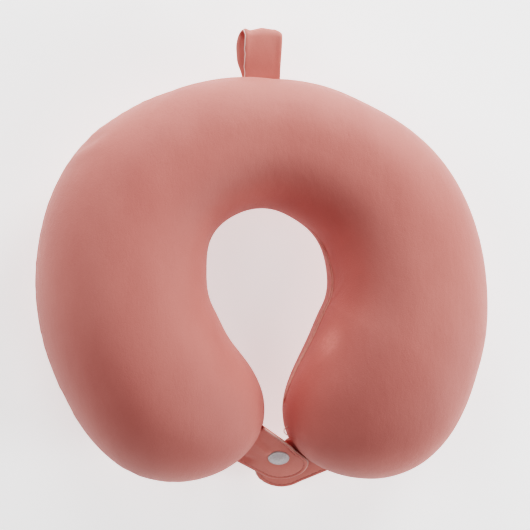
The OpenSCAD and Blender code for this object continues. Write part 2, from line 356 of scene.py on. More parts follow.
def velour(name, dark, light, sheen=0.1, highlight_at=None):
    """Short pile velour: soft nap patches, fine fibres and a pale sheen at the rim."""
    mat, nodes, links, bsdf, coords = new_material(name)
    stretch = nodes.new("ShaderNodeMapping")
    stretch.inputs["Scale"].default_value = (1.0, 0.45, 1.0)
    links.new(coords, stretch.inputs["Vector"])
    nap = noise(nodes, links, stretch.outputs["Vector"], 26, 4, 0.6)
    patches = noise(nodes, links, coords, 9, 2, 0.5)
    tufts = noise(nodes, links, coords, 900, 3, 0.7)
    blend = add_math(nodes, links, "ADD", add_math(nodes, links, "MULTIPLY", nap, 0.45),
                     add_math(nodes, links, "MULTIPLY", patches, 0.35))
    blend = add_math(nodes, links, "ADD", blend, add_math(nodes, links, "MULTIPLY", tufts, 0.24))
    # Painted highlight: the base colour is made lighter where the pile catches the light
    if highlight_at:
        sheen_patch = painted_highlight_patch(nodes, links, coords, highlight_at)
        blend = add_math(nodes, links, "ADD", blend, sheen_patch)
    raised = tuple(min(1, c * 1.18 + 0.05) for c in light)
    color = ramp(nodes, links, blend, ((0.3, dark), (0.7, light), (1.0, raised)))
    links.new(color, bsdf.inputs["Base Color"])
    bsdf.inputs["Roughness"].default_value = 0.62
    bsdf.inputs["Specular IOR Level"].default_value = 0.5
    bsdf.inputs["Sheen Weight"].default_value = sheen
    bsdf.inputs["Sheen Roughness"].default_value = 0.5
    bsdf.inputs["Sheen Tint"].default_value = (1.0, 0.93, 0.9, 1)
    fibres = noise(nodes, links, coords, 1700, 2, 0.6)
    brushed = noise(nodes, links, stretch.outputs["Vector"], 210, 4, 0.62)
    soft_fibres = add_math(nodes, links, "MULTIPLY", fibres, 0.5)
    height = add_math(nodes, links, "ADD", soft_fibres, brushed)
    add_bump(nodes, links, bsdf, height, 0.5, 0.0006)
    return mat


def plain_cloth(name, color, scale, strength=0.4):
    """Woven or knitted cloth: crossing waves of thread over a slightly uneven dye."""
    mat, nodes, links, bsdf, coords = new_material(name)
    waves = []
    for axis in ("X", "Y", "Z"):
        wave = nodes.new("ShaderNodeTexWave")
        wave.wave_type = "BANDS"
        wave.bands_direction = axis
        wave.inputs["Scale"].default_value = scale
        wave.inputs["Distortion"].default_value = 0.6
        links.new(coords, wave.inputs["Vector"])
        waves.append(wave.outputs["Fac"])
    crossed = add_math(nodes, links, "ADD", waves[0], waves[1])
    weave = add_math(nodes, links, "MULTIPLY", crossed, waves[2])
    dye = noise(nodes, links, coords, 60, 3)
    low = tuple(c * 0.82 for c in color)
    links.new(ramp(nodes, links, dye, ((0.3, low), (0.7, color))), bsdf.inputs["Base Color"])
    bsdf.inputs["Roughness"].default_value = 0.85
    bsdf.inputs["Sheen Weight"].default_value = 0.3
    add_bump(nodes, links, bsdf, weave, strength, 0.0003)
    return mat


def foam_material():
    """Pale foam with small open cells."""
    mat, nodes, links, bsdf, coords = new_material("memory_foam")
    cells = nodes.new("ShaderNodeTexVoronoi")
    cells.inputs["Scale"].default_value = 900
    links.new(coords, cells.inputs["Vector"])
    color = ramp(nodes, links, noise(nodes, links, coords, 30, 3),
                 ((0.3, (0.82, 0.74, 0.5)), (0.7, (0.92, 0.86, 0.66))))
    links.new(color, bsdf.inputs["Base Color"])
    bsdf.inputs["Roughness"].default_value = 0.95
    add_bump(nodes, links, bsdf, cells.outputs["Distance"], 0.6, 0.0005)
    return mat


def metal(name, color, rough):
    """Cast zinc with fine wear."""
    mat, nodes, links, bsdf, coords = new_material(name)
    wear = noise(nodes, links, coords, 300, 5, 0.65)
    bsdf.inputs["Metallic"].default_value = 1.0
    low = tuple(c * 0.75 for c in color)
    links.new(ramp(nodes, links, wear, ((0.35, low), (0.65, color))), bsdf.inputs["Base Color"])
    uneven_roughness(nodes, links, bsdf, wear, rough * 0.7, rough * 1.5)
    add_bump(nodes, links, bsdf, noise(nodes, links, coords, 1200, 2), 0.1, 0.0001)
    return mat


def moulded(name, color, rough=0.25):
    """Moulded acetal: a gloss with faint sink marks and scuffs."""
    mat, nodes, links, bsdf, coords = new_material(name)
    scuff = noise(nodes, links, coords, 700, 4, 0.6)
    low = tuple(c * 0.93 for c in color)
    links.new(ramp(nodes, links, scuff, ((0.35, low), (0.6, color))), bsdf.inputs["Base Color"])
    uneven_roughness(nodes, links, bsdf, scuff, rough * 0.8, rough * 1.5)
    bsdf.inputs["Subsurface Weight"].default_value = 0.15
    bsdf.inputs["Subsurface Radius"].default_value = (0.002, 0.002, 0.002)
    add_bump(nodes, links, bsdf, noise(nodes, links, coords, 250, 2), 0.08, 0.0002)
    return mat


CORAL_DARK = (0.55, 0.180, 0.157)
CORAL_LIGHT = (0.65, 0.240, 0.209)
COVER_CLOTH = velour("cover_velour", CORAL_DARK, CORAL_LIGHT, highlight_at=HIGHLIGHT_PATCH_AT)
# The tabs' velour is the cover's velour painted lighter: painted light on the tabs' faces
TAB_CLOTH_PAINTED_LIGHT = velour("tab_velour_painted_light", (0.64, 0.2, 0.17), (0.76, 0.28, 0.235))
# Pale turned edge of the tabs: partly the paler cut edge, partly painted sheen where the rim catches
# the light; the loose thread uses it too
EDGE_CLOTH = plain_cloth("turned_edge", (0.82, 0.52, 0.46), 1500)
# Paler velour for the seam folds: a painted highlight where their ridges catch the light
FOLD_HIGHLIGHT_CLOTH = velour("fold_velour_painted_highlight", (0.72, 0.36, 0.31), (0.82, 0.45, 0.4), 0.3)
LOOP_CLOTH = velour("loop_velour", (0.57, 0.19, 0.165), (0.67, 0.25, 0.215))
# Pale backing of the loop's cut edge: the backing's own colour, drawn only where it also stands for a
# painted highlight of the edge catching the light
BACKING_AND_HIGHLIGHT_CLOTH = plain_cloth("velour_backing_and_highlight", (0.85, 0.7, 0.66), 1500)
THREAD = plain_cloth("sewing_thread", (0.62, 0.22, 0.18), 2500, 0.5)
TAPE_CLOTH = plain_cloth("zipper_tape_weave", (0.5, 0.15, 0.12), 900)
LINER_CLOTH = plain_cloth("liner_knit", (0.85, 0.83, 0.8), 700)
COIL = moulded("zipper_coil_nylon", (0.48, 0.13, 0.1), 0.4)
ZINC = metal("zipper_zinc", (0.72, 0.72, 0.74), 0.28)
SNAP_PLASTIC = moulded("snap_acetal", (0.62, 0.58, 0.59))
FOAM = foam_material()


# ---- Cushion cover ----

# Grid of the simulated cover, how far inside the surface it starts, how many frames it
# runs, and the swelling that leaves the cover on its plain surface
SIM_RINGS = 121
SIM_COLS = 60
SIM_INSET = 2.0
SIM_FRAMES = 20
SWELL = 1.6


def swell():
    """Cloth simulation of the whole cover: its swelling along the normal, in millimetres,
    on an even grid of u and phi."""
    us = np.linspace(-1, 1, SIM_RINGS)
    phis = np.arange(SIM_COLS) * 360 / SIM_COLS
    grid = section(us[:, None], phis[None, :], SIM_INSET)
    inner = grid[1:-1].reshape(-1, 3)
    verts = np.vstack([grid[0, :1], inner, grid[-1, :1]])
    faces = grid_faces(SIM_RINGS - 2, SIM_COLS, wrap=True, offset=1)
    last = len(verts) - 1
    row = last - SIM_COLS
    for j in range(SIM_COLS):
        j2 = (j + 1) % SIM_COLS
        faces.append((0, 1 + j2, 1 + j))
        faces.append((last, row + j, row + j2))
    cover = new_object("swelling_cover", verts, faces)
    weld(cover)
    held = cover.vertex_groups.new(name="held")
    co = np.array([v.co[:] for v in cover.data.vertices]) / MM
    seam = np.abs(co[:, 2] - SEAM_Z) < 0.2
    rest = co[:, 2] < SIM_INSET + 0.3
    held.add([int(i) for i in np.nonzero(seam)[0]], 1.0, "REPLACE")
    held.add([int(i) for i in np.nonzero(rest)[0]], 0.9, "REPLACE")
    cloth = cover.modifiers.new("cloth", "CLOTH").settings
    cloth.quality = 6
    cloth.mass = 0.25
    cloth.tension_stiffness = 12
    cloth.compression_stiffness = 10
    cloth.shear_stiffness = 6
    cloth.bending_stiffness = 0.6
    cloth.use_pressure = True
    cloth.uniform_pressure_force = 4.0
    cloth.shrink_min = -0.008
    cloth.vertex_group_mass = "held"
    cloth.effector_weights.gravity = 0
    scene = bpy.context.scene
    for f in range(1, SIM_FRAMES + 1):
        scene.frame_set(f)
    done = cover.evaluated_get(bpy.context.evaluated_depsgraph_get())
    moved = np.array([v.co[:] for v in done.data.vertices]) / MM
    scene.frame_set(1)
    normals = surface_normals(grid)
    flat = np.vstack([normals[0, :1], normals[1:-1].reshape(-1, 3), normals[-1, :1]])
    out = ((moved - verts) * flat).sum(1)
    bpy.data.objects.remove(cover)
    body = out[1:-1].reshape(SIM_RINGS - 2, SIM_COLS)
    return np.vstack([np.full((1, SIM_COLS), out[0]), body, np.full((1, SIM_COLS), out[-1])])


def sample(field, us, phis):
    """Smooth lookup in a swelling grid."""
    x = (np.asarray(us) + 1) / 2 * (SIM_RINGS - 1)
    y = np.mod(np.asarray(phis), 360) / 360 * SIM_COLS
    x, y = np.broadcast_arrays(x, y)
    i = np.clip(x.astype(int), 0, SIM_RINGS - 2)
    j = y.astype(int) % SIM_COLS
    a, b = x - i, y - y.astype(int)

    def weights(t):
        return (0.5 * (-t + 2 * t ** 2 - t ** 3), 0.5 * (2 - 5 * t ** 2 + 3 * t ** 3),
                0.5 * (t + 4 * t ** 2 - 3 * t ** 3), 0.5 * (-t ** 2 + t ** 3))

    total = np.zeros(x.shape)
    for p, wp in enumerate(weights(a)):
        row = np.clip(i + p - 1, 0, SIM_RINGS - 1)
        for q, wq in enumerate(weights(b)):
            total += wp * wq * field[row, (j + q - 1) % SIM_COLS]
    return total


def ripple(x, seeds, spread=0.35):
    """Uneven waves along a line: a few sines whose lengths differ."""
    total = np.zeros(np.shape(x))
    for k, s in enumerate(seeds):
        total = total + np.sin(x * (1 + spread * (k - 1)) + s) / len(seeds)
    return total


# A crease that runs from the seam on the upper left over the top panel: start, heading and
# the direction square to it
CREASE_START = np.array([-131.0, 75.0])
CREASE_HEADING = np.array([0.85, 0.527])
CREASE_ASIDE = np.array([-0.527, 0.85])

# How far the simulated swelling may go and how much of it is kept, the depth and width of
# the seam's valley, and the lowest that the fabric may lie, which is clear of the liner
FIELD_CAP = 1.6
FIELD_SHARE = 0.6
VALLEY_DEPTH = 0.9
VALLEY_WIDTH = 3.2
LOWEST = -0.75

# Height to which the right arm's inner seam rides up, in degrees of phi
CLIMB = 5.0


def seam_climb(us):
    """How far the inner seam of the right arm rides up the cushion, in degrees of phi."""
    return CLIMB * ease((us - 0.2) / 0.2) * (1 - 0.8 * ease((us - 0.86) / 0.07))


def puckers(points, angle, side, outside):
    """Short waves across the seam, stronger at three places of the outer one."""
    lower_left = bell((angle + 150) % 360, 45) + bell((angle + 150) % 360 - 360, 45)
    upper_right = bell(angle - 50, 14)
    upper_left = bell(angle - 135, 16)
    outer = 0.55 * lower_left + 0.6 * upper_right + 0.5 * upper_left
    along = points[..., 0] * 0.9 + points[..., 1] * 0.8
    return ripple(along, (0.3, 2.1, 4.4)) * bell(side, 7) * (0.2 + np.where(outside, outer, 0.12))


def seam_streaks(points, angle, above, outside):
    """Fine streaks beside the outer seam, on the upper left and more weakly on the right."""
    radius = np.hypot(points[..., 0], points[..., 1])
    waves = ripple(radius / 1.15 + angle / 5, (0.9, 2.7, 4.1))
    places = bell(angle - 132, 17) + 0.5 * bell(angle - 62, 12)
    return waves * bell(above - 16, 12) * places * outside


def cover_crease(points, above):
    """The crease of the upper left: a furrow with a ridge on each side."""
    offset = points[..., :2] - CREASE_START
    along, beside = offset @ CREASE_HEADING, offset @ CREASE_ASIDE
    shown = ease((along + 6) / 5) * ease((26 - along) / 14) * ease((above + 5) / 4)
    furrow = 1.3 * bell(beside, 2.0)
    return shown * (1.1 * bell(beside - 4.2, 2.8) - furrow + 0.7 * bell(beside + 5, 3.2))


def relief(points, us, phis, field):
    """Height of the fabric above the plain surface, in millimetres."""
    climb = seam_climb(us)
    outside = np.abs(((phis + 90) % 360) - 90) < 90
    seam = np.where(outside, SEAM_Z, section(us, 180 - climb)[..., 2])
    above = points[..., 2] - seam
    side = np.abs(above)
    angle = np.degrees(np.arctan2(points[..., 1], points[..., 0]))
    resting = ease((points[..., 2] - 1.5) / 10)
    swelling = np.clip(sample(field, us, phis) - SWELL, -FIELD_CAP, FIELD_CAP) * FIELD_SHARE
    valley = -VALLEY_DEPTH * bell(side, VALLEY_WIDTH)
    lip = np.where(outside, 0, climb / CLIMB) * (0.6 * bell(side - 2.6, 1.3) - 0.5 * bell(side, 1.0))
    soft = ripple(points[..., 0] / 9 + points[..., 1] / 14, (0.4, 1.9, 3.3, 5.0))
    wrinkles = puckers(points, angle, side, outside) + 0.22 * soft
    wrinkles = wrinkles + 0.5 * seam_streaks(points, angle, above, outside)
    height = swelling * resting + valley + lip + cover_crease(points, above) + wrinkles * resting
    return np.maximum(height, LOWEST)


def zip_opening(points):
    """Half height of the zipper's slit at each point, in millimetres."""
    local = points[..., :2] - ZIP_CENTRE
    angle = np.degrees(np.arctan2(local[..., 1], local[..., 0]))
    out = np.hypot(local[..., 0], local[..., 1]) > ZIP_R - 25
    rise = ease((angle - SLIT_FROM) / 3.5) * ease((SLIT_TO - angle) / 3)
    return np.where(out, rise * SLIT_HALF, 0)


# Turned edge of a panel: steps inward and towards the other panel. At the zipper it goes
# ZIP_LIP times as deep, down to the tapes.
LIP_STEPS = ((0.2, 0.1), (0.5, 0.35), (0.9, 0.5), (1.4, 0.55), (1.85, 0.6))
ZIP_LIP = 2.2

# Half the gap between the panels: in millimetres outside, in degrees of phi inside
SEAM_GAP = 0.18
INNER_GAP = 0.15

PANEL_RINGS = 341
PANEL_COLS = 87
COVER_THICK = 1.2


def panel(name, top, field):
    """One panel of the cover, from the outer seam to the inner one, with its turned edges."""
    us = np.linspace(-1, 1, PANEL_RINGS)[1:-1][:, None]
    opening = zip_opening(section(us, 0.0))
    rise = (SEAM_GAP + opening) / (CROWN_ARM if top else SEAM_Z)
    half = np.degrees(np.arcsin(np.clip(rise, 0, 1)))
    share = np.linspace(0, 1, PANEL_COLS)[None, :]
    share = 0.5 * share + 0.5 * (0.5 - 0.5 * np.cos(math.pi * share))
    inner = 180 - seam_climb(us)
    start, stop = (half, inner - INNER_GAP) if top else (360 - half, inner + INNER_GAP)
    phis = start + (stop - start) * share
    grid = section(us, phis)
    full = surface_normals(grid)
    if not top:
        full = -full
    grid = grid + full * relief(grid, us, phis, field)[..., None]
    lips = []
    for column, sign in ((0, 1), (-1, -1)):
        base = grid[:, column]
        inward = full[:, column] * np.array([1, 1, 0])
        inward = -inward / np.maximum(np.linalg.norm(inward, axis=1, keepdims=True), 1e-9)
        lift = np.array([0, 0, -1.0 if top else 1.0])
        deep = 1 + (ZIP_LIP - 1) * opening / SLIT_HALF if sign > 0 else 1.0
        lips.append([base + inward * d * deep + lift * SEAM_GAP * h for d, h in LIP_STEPS])
    left = np.stack(lips[0][::-1], 1)
    right = np.stack(lips[1], 1)
    whole = np.concatenate([left, grid, right], 1)
    n = whole.shape[1]
    rows = len(whole)
    obj = new_object(name, whole.reshape(-1, 3), grid_faces(rows, n))
    close_ends(obj, rows, n)
    thick = obj.modifiers.new("cloth_thickness", "SOLIDIFY")
    thick.thickness = COVER_THICK * MM
    thick.offset = -1
    obj.data.materials.append(COVER_CLOTH)
    return obj


FIELD = swell()
TOP = panel("cover_top_velour", True, FIELD)
BOTTOM = panel("cover_bottom_velour", False, FIELD)
for piece, node in ((TOP, "cover_top_panel"), (BOTTOM, "cover_bottom_panel")):
    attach(piece, "pillow")
    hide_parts(node)


# Any direction that no free cord runs along
SIDEWAYS = (0.1, 0.2, 1.0)


def free_cord(name, line, radii, material):
    """A round cord that lies in no plane, with a radius at each point."""
    ahead = unit(np.gradient(line, axis=0))
    across = unit(np.cross(ahead, SIDEWAYS))
    return cord(name, line, across, np.cross(across, ahead), radii[:, None], 8, material)


# Folds beside the inner seam: their stretch of u, degrees of phi from the seam, how far they
# stand proud, and their radius at the ends and what it gains between them
FOLDS_FROM = 0.17
FOLDS_TO = 0.95
FOLD_ASIDE = 1.5
FOLD_PROUD = 0.12
FOLD_END_R = 0.08
FOLD_R = 0.5


def seam_fold(word, sign):
    """A fold of the cloth that stands up beside the right arm's inner seam; its paler colour is a
    painted highlight on the ridge. The surface is sampled a little to both sides of it to find
    which way is out."""
    us = np.linspace(FOLDS_FROM, FOLDS_TO, 300)[:, None]
    phis = 180 - seam_climb(us) - sign * FOLD_ASIDE + np.array([-0.7, 0, 0.7])
    grid = section(us, phis)
    out = surface_normals(grid)[:, 1]
    height = relief(grid, us, phis, FIELD)[:, 1] + FOLD_PROUD
    fade = ease((us[:, 0] - FOLDS_FROM) / 0.15) * ease((FOLDS_TO - us[:, 0]) / 0.05)
    radii = (FOLD_END_R + FOLD_R * fade) * (1 + 0.16 * ripple(us[:, 0] * 160, (0.7, 2.2, 4.9)))
    line = grid[:, 1] + out * (height * fade)[:, None]
    return free_cord(f"inner_seam_{word}_fold", line, radii, FOLD_HIGHLIGHT_CLOTH)


for word, sign in (("upper", 1), ("lower", -1)):
    fold = seam_fold(word, sign)
    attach(fold, "pillow")

# A loose end of sewing thread at the right arm's tip
THREAD_R = 0.28
THREAD_CURL = np.array([(14.6, -108.4, 51.0), (11.2, -107.4, 52.6), (9.4, -105.4, 54.0),
                        (9.2, -103.6, 55.2), (10.2, -102.3, 55.9), (11.4, -102.2, 55.6)])
steps = np.linspace(0, len(THREAD_CURL) - 1, 31)
curl = np.stack([smooth(THREAD_CURL[:, c], steps) for c in range(3)], -1)
loose = free_cord("loose_thread_end", curl, np.full(len(steps), THREAD_R), EDGE_CLOTH)
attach(loose, "pillow")


# ---- Tabs ----

def rolled(x, y, z):
    """A direction of the sloping plane, turned sideways by the roll."""
    c, r = math.cos(TAB_ROLL), math.sin(TAB_ROLL)
    return np.array([x * c - z * r, y, x * r + z * c])


TAB_U = rolled(1, 0, 0)
TAB_V = rolled(0, math.cos(TAB_TILT), math.sin(TAB_TILT))
TAB_W = rolled(0, -math.sin(TAB_TILT), math.cos(TAB_TILT))


def tab_point(plane):
    """Place of points given in the tab plane."""
    plane = np.asarray(plane, float)
    return SNAP + plane[..., :1] * TAB_U + plane[..., 1:2] * TAB_V + plane[..., 2:3] * TAB_W


def heading(degrees):
    return np.array([math.cos(math.radians(degrees)), math.sin(math.radians(degrees))])


# Corner of the left tab that the right arm presses in, how far, and over what width
PRESSED_CORNER = np.array([13.5, 7.0])
PRESS = 2.2
PRESS_WIDTH = 8

# Points of a tab's rim: round its end, down each side, and across its root
END_POINTS = 61
SIDE_POINTS = 37
ROOT_POINTS = 25


class Tab:
    """A tab's cut in the tab plane: a round end of a radius, and sides that run on in a
    direction, by a length, to its root, where the upper one has spread by the flare. Its
    lower face is at low, and its waves start from the seeds."""

    def __init__(self, side, end, radius, direction, length, flare, low, seeds):
        self.side, self.radius, self.direction = side, radius, direction
        self.length, self.flare, self.low, self.seeds = length, flare, low, seeds
        self.end = np.array(end, float)
        self.along, self.across = heading(direction), heading(direction + 90)

    def rim(self):
        """Rim points, and the point of the middle line by each. The round end comes first."""
        rim, middle = [], []
        for a in np.linspace(-90, 90, END_POINTS):
            rim.append(self.end + self.radius * heading(self.direction + 180 + a))
            middle.append(self.end)
        run = np.linspace(0, 1, SIDE_POINTS)
        left, right = self.width(run, 1), -self.width(run, -1)
        for s, w in list(zip(run, right))[1:]:
            rim.append(self.end + self.along * self.length * s + self.across * w)
            middle.append(self.end + self.along * self.length * s)
        for c in np.linspace(right[-1], left[-1], ROOT_POINTS)[1:-1]:
            rim.append(self.end + self.along * self.length + self.across * c)
            middle.append(self.end + self.along * self.length)
        for s, w in list(zip(run, left))[:0:-1]:
            rim.append(self.end + self.along * self.length * s + self.across * w)
            middle.append(self.end + self.along * self.length * s)
        rim, middle = np.array(rim), np.array(middle)
        if self.side == "left":
            press = PRESS * bell(np.linalg.norm(rim - PRESSED_CORNER, axis=1), PRESS_WIDTH)
            rim = rim + unit(middle - rim) * press[:, None]
        return rim, middle

    def width(self, run, hand):
        """Half width on one side of the middle line. The upper side spreads towards the root."""
        upper = hand == (-1 if self.side == "left" else 1)
        return self.radius + (self.flare if upper else 0) * run ** 1.3

    def area(self):
        rim = self.rim()[0]
        x, y = rim[:, 0], rim[:, 1]
        return abs(np.dot(x, np.roll(y, -1)) - np.dot(y, np.roll(x, -1))) / 2 * MM * MM

    def bend(self, flat):
        """How far the cloth leaves its plane: a tip that curls up against the other arm,
        a crease and a hollow towards the root, and waves along the rim."""
        u, v = flat[:, 0], flat[:, 1]
        reach = (flat - self.end) @ self.along
        aside = (flat - self.end) @ self.across
        if self.side == "left":
            past_arm = np.clip(u - (16.6 - 0.85 * v) + 3, 0, 8)
            lift = 0.09 * past_arm ** 2 * ease((v + 16) / 10)
            crease = 1.9 * bell(aside + 0.3 * reach - 2, 2.6) * ease((reach - 9) / 8)
            hollow = -1.4 * bell(aside - 0.2 * reach - 7, 3.2) * ease((reach - 12) / 9)
        else:
            lift = 1.9 * ease((np.hypot(u, v) - 9) / 8)
            crease = 0.5 * bell(aside - 5, 3) * ease((reach - 8) / 8)
            hollow = 1.0 * ease((-v - 24) / 14)
        wave = 0.3 * ripple(flat @ heading(self.direction + 75) / 4.4, self.seeds) * ease(reach / 12)
        edge = 0.35 * ripple(np.degrees(np.arctan2(aside, reach - 1e-6)) / 17, self.seeds)
        near_rim = ease((np.hypot(aside, np.minimum(reach, 0)) - 9) / 8)
        return lift + crease + hollow + wave + edge * near_rim


LEFT = Tab("left", end=(1.5, -6.0), radius=17.8, direction=138, length=35, flare=5.0,
           low=0.0, seeds=(0.2, 1.7, 3.9))
RIGHT = Tab("right", end=(2.3, -20.5), radius=17.5, direction=35, length=29, flare=8.0,
            low=RIGHT_TOP - 2 * PLY, seeds=(1.2, 2.9, 5.1))

# Rows of a ply's faces and the line of stitches: distances in from the rim. The stitches pull
# each face in by a share of half the ply.
PLY_INSETS = (0, 0.1, 0.3, 0.6, 0.95, 1.35, 1.75, 2.1, 2.35, 2.6, 2.9, 3.4, 4.2, 5.2, 6.4, 7.8,
              9.2, 10.6, 12, 13.4, 14.8, 16)
STITCH_INSET = 2.4
STITCH_PULL = 0.42

# The cap presses a ply's outer face in: depth at its rim, what it gains under it, the rim's
# radius, the dip's width, and the share that the inner face takes
PINCH_RIM = 0.375
PINCH_UNDER = 0.45
PINCH_R = CAP_R - 0.6
PINCH_WIDTH = 2.2
PINCH_INNER = 0.15


def ply_half(inset):
    """Half thickness of a ply at a distance in from its rim: a plump turned edge, a line
    of stitches that pulls it in, and the flat middle."""
    edge = math.sqrt(max(0.0, 1 - (1 - min(inset / 0.8, 1)) ** 2))
    turned = 1 + 0.2 * math.exp(-((inset - 1.1) / 0.7) ** 2)
    pulled = STITCH_PULL * math.exp(-((inset - STITCH_INSET) / 0.4) ** 2)
    return PLY / 2 * edge * (turned - pulled)


def tab_ply(tab, level):
    """One ply of a tab, as a thin closed sheet. Its two faces meet at the rim."""
    rim, middle = tab.rim()
    centre = tab.low + PLY * (level + 0.5)
    span = np.linalg.norm(middle - rim, axis=1, keepdims=True)
    inward = (middle - rim) * np.minimum(1, tab.radius / span)
    layers = [(rim + inward * min(inset / tab.radius, 1), ply_half(inset)) for inset in PLY_INSETS]
    rows = []
    outer = 1 if level else -1
    for sign, chosen in ((1, layers[::-1]), (-1, layers[1:])):
        for flat, half in chosen:
            thick = half if sign == outer else min(half, PLY * 0.5)
            radius = np.linalg.norm(flat, axis=1)
            pinch = PINCH_RIM * bell(radius - PINCH_R, PINCH_WIDTH) + PINCH_UNDER * (radius < PINCH_R)
            pinch = pinch * (1 if sign == outer else PINCH_INNER)
            height = centre + tab.bend(flat) + sign * thick - outer * pinch
            rows.append(np.column_stack([flat, height]))
    verts = tab_point(np.vstack(rows))
    ply = new_object(f"{tab.side}_tab_{'upper' if level else 'lower'}_velour", verts,
                     grid_faces(len(rows), len(rim), wrap=True))
    close_ends(ply, len(rows), len(rim), slits=True)
    ply.data.materials.append(TAB_CLOTH_PAINTED_LIGHT)
    return ply


def stitches(name, places, ups, length=2.4, gap=0.7, radius=0.2):
    """A row of thread stitches along a line of points, each a small bent capsule."""
    places = np.asarray(places)
    steps = np.linalg.norm(np.diff(places, axis=0), axis=1)
    dist = np.concatenate([[0], np.cumsum(steps)])
    first, sides, bends = 0.4, 6, 6

    def along(values, d):
        return np.array([np.interp(d, dist, values[:, c]) for c in range(3)])

    verts, faces = [], []
    at = first
    while at + length < dist[-1]:
        base = len(verts)
        for k in range(bends + 1):
            t = k / bends
            d = at + length * t
            centre, up = along(places, d), along(ups, d)
            forward = along(places, min(d + 0.2, dist[-1])) - centre
            forward = forward / max(np.linalg.norm(forward), 1e-9)
            side = np.cross(forward, up)
            side = side / max(np.linalg.norm(side), 1e-9)
            bulge = math.sin(math.pi * t)
            r = radius * (0.35 + 0.65 * bulge ** 0.5)
            for a in np.linspace(0, 2 * math.pi, sides, endpoint=False):
                rise = 0.24 * bulge - 0.1 + math.sin(a) * r
                verts.append(centre + up * rise + side * math.cos(a) * r)
        faces += grid_faces(bends + 1, sides, wrap=True, offset=base)
        faces.append(tuple(base + s for s in range(sides))[::-1])
        faces.append(tuple(base + bends * sides + s for s in range(sides)))
        at += length + gap
    obj = new_object(name, verts, faces)
    obj.data.materials.append(THREAD)
    return obj


def tab_edge(tab):
    """The turned edge that shows between the plies, all round a tab's rim. Its pale colour is partly
    the paler cut edge and partly a painted sheen where the rim catches the light.
    """
    rim, middle = tab.rim()
    outward = unit(rim - middle)
    height = tab.low + PLY + tab.bend(rim) + 0.35
    around = np.linspace(0, 2 * math.pi, 10, endpoint=False)
    rows = []
    for a in around:
        out = rim + outward * (0.5 * math.cos(a) + 0.2)
        rows.append(np.column_stack([out, height + 0.6 * math.sin(a)]))
    verts = tab_point(np.stack(rows, 1).reshape(-1, 3))
    faces = grid_faces(len(rim), len(around), wrap=True)
    last = (len(rim) - 1) * len(around)
    for j in range(len(around)):
        j2 = (j + 1) % len(around)
        faces.append((last + j, last + j2, j2, j))
    edge = new_object(f"{tab.side}_tab_turned_edge", verts, faces)
    weld(edge)
    edge.data.materials.append(EDGE_CLOTH)
    return edge


def topstitching(tab):
    """Stitches that follow the rim on the upper face of a tab."""
    rim, middle = tab.rim()
    turn = SIDE_POINTS - 1
    sewn = np.roll(np.arange(len(rim)), turn)[:END_POINTS + 2 * turn]
    line = rim[sewn] + (middle[sewn] - rim[sewn]) * (STITCH_INSET / tab.radius)
    line = line[(line - tab.end) @ tab.along < tab.length - 6]
    height = tab.low + PLY * (2 - STITCH_PULL / 2) + 0.05 + tab.bend(line)
    places = tab_point(np.column_stack([line, height]))
    return stitches(f"{tab.side}_tab_topstitch", places, np.tile(TAB_W, (len(places), 1)))


def snap_cap(height):
    """Snap cap: a low dome with a raised rim and a moulding dimple, turned on a lathe, and the
    post below it that goes through both plies."""
    post = -PLY * 2 - 0.9
    profile = ((0, 1.15), (0.9, 1.14), (1.0, 1.2), (1.15, 1.2), (1.3, 1.12), (3.2, 1.02),
               (5.0, 0.8), (5.9, 0.62), (6.1, 0.66), (6.35, 0.72), (6.65, 0.66),
               (CAP_R - 0.15, 0.42), (CAP_R, 0.15), (CAP_R, -0.25), (CAP_R - 0.3, -0.5),
               (1.0, -0.5), (0.9, -0.9), (0.9, post), (0, post))
    around = np.linspace(0, 2 * math.pi, 72, endpoint=False)
    rows = []
    for r, h in profile:
        ring = [(max(r, 1e-4) * math.cos(a), max(r, 1e-4) * math.sin(a), height + h) for a in around]
        rows.append(np.array(ring))
    faces = grid_faces(len(rows), len(around), wrap=True)
    cap = new_object("snap_socket_cap_turned", tab_point(np.vstack(rows)), faces)
    weld(cap, 5e-6)
    cap.data.materials.append(SNAP_PLASTIC)
    return cap


def make_tab(tab):
    """Both plies of a tab with their stitches and turned edge."""
    made = []
    for level, name in ((1, "upper"), (0, "lower")):
        ply = tab_ply(tab, level)
        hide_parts(f"{tab.side}_tab_{name}_ply")
        made.append(ply)
    thread, edge = topstitching(tab), tab_edge(tab)
    for trim in (thread, edge):
        made.append(trim)
    for obj in made:
        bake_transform(obj)
    tab.area()
    tab.area()


make_tab(LEFT)
make_tab(RIGHT)
CAP = snap_cap(2 * PLY - 0.1)
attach(CAP, "left_tab")
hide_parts("snap_socket_cap")


# ---- Hanging loop ----

# The strap's width and place, how far it reaches from the seam, half its thickness, half
# the width of its bend, and how far its ends go into the seam
LOOP_W = 24.0
LOOP_X = -4.5
LOOP_Z = JOINTS["loop_swing"]["pos_m"][2] / MM
LOOP_Y = JOINTS["loop_swing"]["pos_m"][1] / MM
LOOP_REACH = 29.5
STRAP_HALF = 0.95
LOOP_BULGE = 4.4
LOOP_TUCK = 5.0


def loop_path():
    """Middle line of the strap seen from its side: out along the top, round, and back below."""
    far = LOOP_REACH - LOOP_BULGE - STRAP_HALF
    out = []
    for s in np.linspace(0, 1, 44):
        opening = float(ease((s - 0.16) / 0.84))
        out.append((-LOOP_TUCK + (far + LOOP_TUCK) * s, 1.0 + (LOOP_BULGE - 1.0) * opening))
    bend = [(far + LOOP_BULGE * math.cos(a), LOOP_BULGE * math.sin(a))
            for a in np.linspace(math.pi / 2, -math.pi / 2, 26)[1:-1]]
    back = [(y, -z) for y, z in out[::-1]]
    return np.array(out + bend + back)


def strap_frame():
    """For each step along the strap: its middle, its normal and how far it has travelled."""
    path = loop_path()
    tangent = unit(np.gradient(path, axis=0))
    normal = np.column_stack([-tangent[:, 1], tangent[:, 0]])
    return list(zip(path, normal, np.linspace(0, 1, len(path))))


